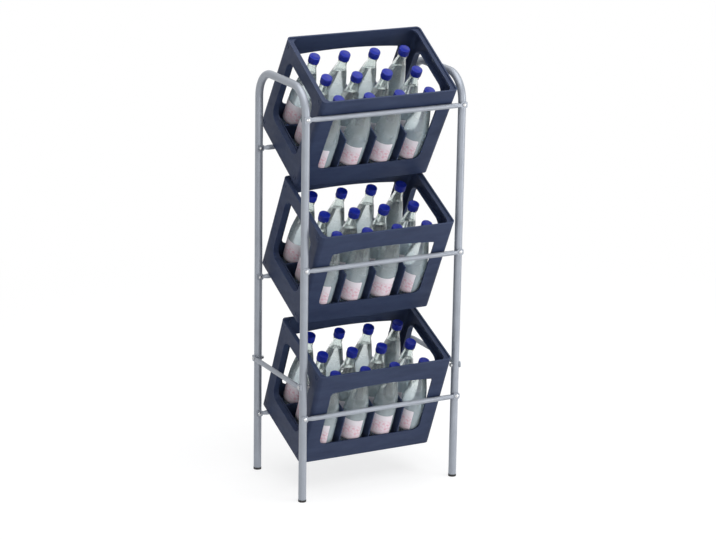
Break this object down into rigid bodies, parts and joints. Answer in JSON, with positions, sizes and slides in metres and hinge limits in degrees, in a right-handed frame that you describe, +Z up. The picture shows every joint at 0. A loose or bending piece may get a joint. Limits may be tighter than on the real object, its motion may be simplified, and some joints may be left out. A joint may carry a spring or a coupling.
{
  "type": "market crate stand",
  "caption": "Tubular steel stand that holds bottle crates tilted forward, one above another, with bottles that lift out.",
  "frame": {"origin": "on the floor, at the centre of the stand's overall footprint", "axes": "+X to the right seen from the front, +Y to the back, +Z up; the crates tilt towards -Y"},
  "size_m": [0.4994, 0.4036, 1.2314],
  "materials": {
    "frame": "silver-grey lacquer, satin",
    "fasteners": "bright zinc",
    "feet": "black plastic",
    "crate": "dark slate-blue moulded plastic",
    "bottle_glass": "clear glass",
    "bottle_caps": "royal blue plastic"
  },
  "bodies": {
    "stand": {"left_hoop": "frame", "right_hoop": "frame", "front_left_foot": "feet", "front_right_foot": "feet", "rear_left_foot": "feet", "rear_right_foot": "feet", "top_front_rail": "frame", "middle_front_rail": "frame", "bottom_front_rail": "frame", "top_rear_rail": "frame", "middle_rear_rail": "frame", "bottom_rear_rail": "frame", "left_side_rail": "frame", "right_side_rail": "frame", "front_rail_screws": "fasteners", "rear_rail_screws": "fasteners", "side_rail_bolts": "fasteners", "side_rail_nuts": "fasteners"},
    "top_crate": {"top_crate": "crate"},
    "middle_crate": {"middle_crate": "crate"},
    "bottom_crate": {"bottom_crate": "crate"},
    "top_front_row": {"top_front_bottles": "bottle_glass", "top_front_caps": "bottle_caps"},
    "top_centre_row": {"top_centre_bottles": "bottle_glass", "top_centre_caps": "bottle_caps"},
    "top_back_row": {"top_back_bottles": "bottle_glass", "top_back_caps": "bottle_caps"},
    "middle_front_row": {"middle_front_bottles": "bottle_glass", "middle_front_caps": "bottle_caps"},
    "middle_centre_row": {"middle_centre_bottles": "bottle_glass", "middle_centre_caps": "bottle_caps"},
    "middle_back_row": {"middle_back_bottles": "bottle_glass", "middle_back_caps": "bottle_caps"},
    "bottom_front_row": {"bottom_front_bottles": "bottle_glass", "bottom_front_caps": "bottle_caps"},
    "bottom_centre_row": {"bottom_centre_bottles": "bottle_glass", "bottom_centre_caps": "bottle_caps"},
    "bottom_back_row": {"bottom_back_bottles": "bottle_glass", "bottom_back_caps": "bottle_caps"}
  },
  "joints": [
    {"name": "top_crate_draw", "type": "slide", "parent": "stand", "child": "top_crate", "axis": [0, 0.8554, 0.518], "range_m": [0, 0.11]},
    {"name": "middle_crate_draw", "type": "slide", "parent": "stand", "child": "middle_crate", "axis": [0, 0.8942, 0.4478], "range_m": [0, 0.11]},
    {"name": "bottom_crate_draw", "type": "slide", "parent": "stand", "child": "bottom_crate", "axis": [0, 0.9205, 0.3907], "range_m": [0, 0.11]},
    {"name": "top_front_row_lift", "type": "slide", "parent": "top_crate", "child": "top_front_row", "axis": [0, -0.518, 0.8554], "range_m": [0, 0.29]},
    {"name": "top_centre_row_lift", "type": "slide", "parent": "top_crate", "child": "top_centre_row", "axis": [0, -0.518, 0.8554], "range_m": [0, 0.29]},
    {"name": "top_back_row_lift", "type": "slide", "parent": "top_crate", "child": "top_back_row", "axis": [0, -0.518, 0.8554], "range_m": [0, 0.29]},
    {"name": "middle_front_row_lift", "type": "slide", "parent": "middle_crate", "child": "middle_front_row", "axis": [0, -0.4478, 0.8942], "range_m": [0, 0.25]},
    {"name": "middle_centre_row_lift", "type": "slide", "parent": "middle_crate", "child": "middle_centre_row", "axis": [0, -0.4478, 0.8942], "range_m": [0, 0.25]},
    {"name": "middle_back_row_lift", "type": "slide", "parent": "middle_crate", "child": "middle_back_row", "axis": [0, -0.4478, 0.8942], "range_m": [0, 0.02]},
    {"name": "bottom_front_row_lift", "type": "slide", "parent": "bottom_crate", "child": "bottom_front_row", "axis": [0, -0.3907, 0.9205], "range_m": [0, 0.25]},
    {"name": "bottom_centre_row_lift", "type": "slide", "parent": "bottom_crate", "child": "bottom_centre_row", "axis": [0, -0.3907, 0.9205], "range_m": [0, 0.25]},
    {"name": "bottom_back_row_lift", "type": "slide", "parent": "bottom_crate", "child": "bottom_back_row", "axis": [0, -0.3907, 0.9205], "range_m": [0, 0.05]}
  ]
}
